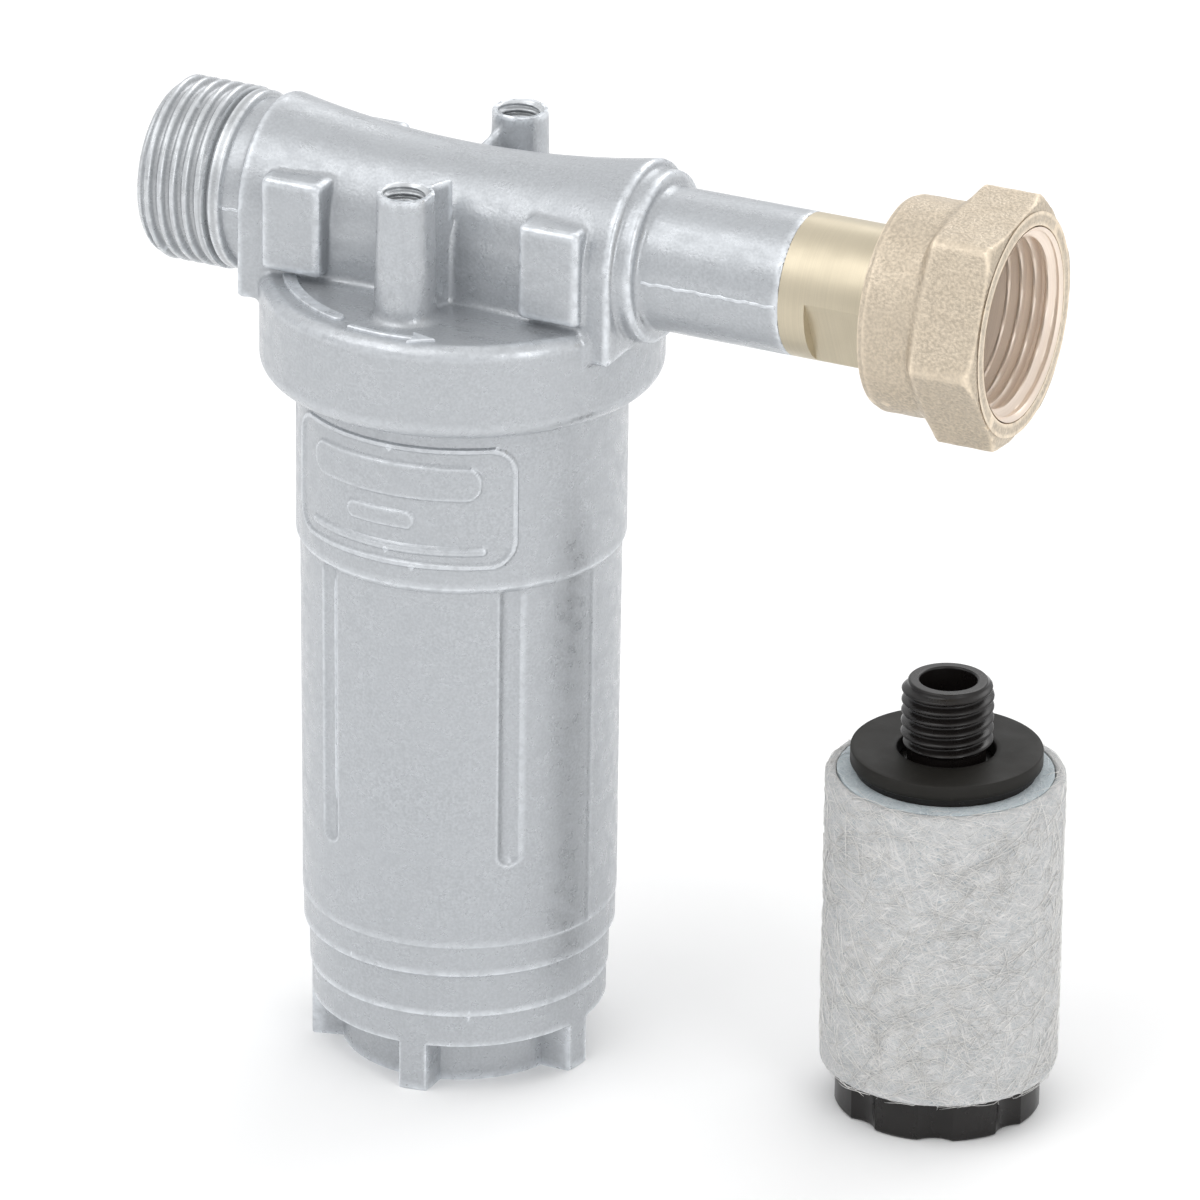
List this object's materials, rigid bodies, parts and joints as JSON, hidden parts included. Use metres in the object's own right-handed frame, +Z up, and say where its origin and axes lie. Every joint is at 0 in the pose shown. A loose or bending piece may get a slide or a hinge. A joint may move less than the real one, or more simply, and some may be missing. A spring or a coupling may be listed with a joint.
{
  "type": "inline gas filter",
  "caption": "Die-cast in-line gas filter: waisted pipe body with bracket bosses, screw-on filter cup, brass union nut, fleece cartridge inside and a spare beside it.",
  "frame": {"origin": "centre of the cup's circle of feet, on the plane that the feet stand on", "axes": "+Z up the cup's axis to the pipe; +X along the pipe from the threaded inlet to the outlet nut; -Y is the side with the label frame"},
  "size_m": [0.1017, 0.0436, 0.1088],
  "materials": {
    "cast_zinc": "satin die-cast zinc",
    "machined_brass": "turned, pale yellow",
    "forged_brass": "blasted forging, threads machined",
    "black_plastic": "moulded, semi-matt",
    "seal_rubber": "matt",
    "inner_fleece": "dense needled fleece",
    "outer_fleece": "loose wound fleece, fibrous"
  },
  "bodies": {
    "head": {"head_casting": "cast_zinc", "outlet_spigot": "machined_brass", "spigot_o_ring": "seal_rubber"},
    "cup_seal": {"cup_o_ring": "seal_rubber"},
    "cup": {"cup_casting": "cast_zinc"},
    "nut_gasket": {"outlet_gasket": "seal_rubber"},
    "nut": {"union_nut": "forged_brass"},
    "cartridge_seal": {"cartridge_seal_disc": "seal_rubber"},
    "cartridge": {"cartridge_end_fitting": "black_plastic", "cartridge_support_tube": "black_plastic", "cartridge_inner_fleece": "inner_fleece", "cartridge_outer_fleece": "outer_fleece", "cartridge_end_cap": "black_plastic"},
    "spare_cartridge": {"spare_end_fitting": "black_plastic", "spare_seal_disc": "seal_rubber", "spare_support_tube": "black_plastic", "spare_inner_fleece": "inner_fleece", "spare_outer_fleece": "outer_fleece", "spare_end_cap": "black_plastic"}
  },
  "joints": [
    {"name": "cup_lower", "type": "slide", "parent": "head", "child": "cup_seal", "axis": [0, 0, -1], "range_m": [0, 0.00601]},
    {"name": "cup_unscrew", "type": "hinge", "parent": "cup_seal", "child": "cup", "pos_m": [0, 0, 0.08], "axis": [0, 0, -1], "range_deg": [0, 1440]},
    {"name": "cartridge_lower", "type": "slide", "parent": "head", "child": "cartridge_seal", "axis": [0, 0, -1], "range_m": [0, 0.00751]},
    {"name": "cartridge_unscrew", "type": "hinge", "parent": "cartridge_seal", "child": "cartridge", "pos_m": [0, 0, 0.08], "axis": [0, 0, -1], "range_deg": [0, 2160]},
    {"name": "nut_turn", "type": "hinge", "parent": "head", "child": "nut_gasket", "pos_m": [0.058, 0, 0.0962], "axis": [1, 0, 0], "continuous": true},
    {"name": "nut_draw_back", "type": "slide", "parent": "nut_gasket", "child": "nut", "axis": [-1, 0, 0], "range_m": [0, 0.009]},
    {"name": "spare_slide_away", "type": "slide", "parent": "head", "child": "spare_cartridge", "axis": [1, 0, 0], "range_m": [0, 0.06]}
  ],
  "couplings": [
    {"joint": "cup_lower", "follows": "cup_unscrew", "m_per_rad": 0.00023873},
    {"joint": "cartridge_lower", "follows": "cartridge_unscrew", "m_per_rad": 0.00019894}
  ]
}
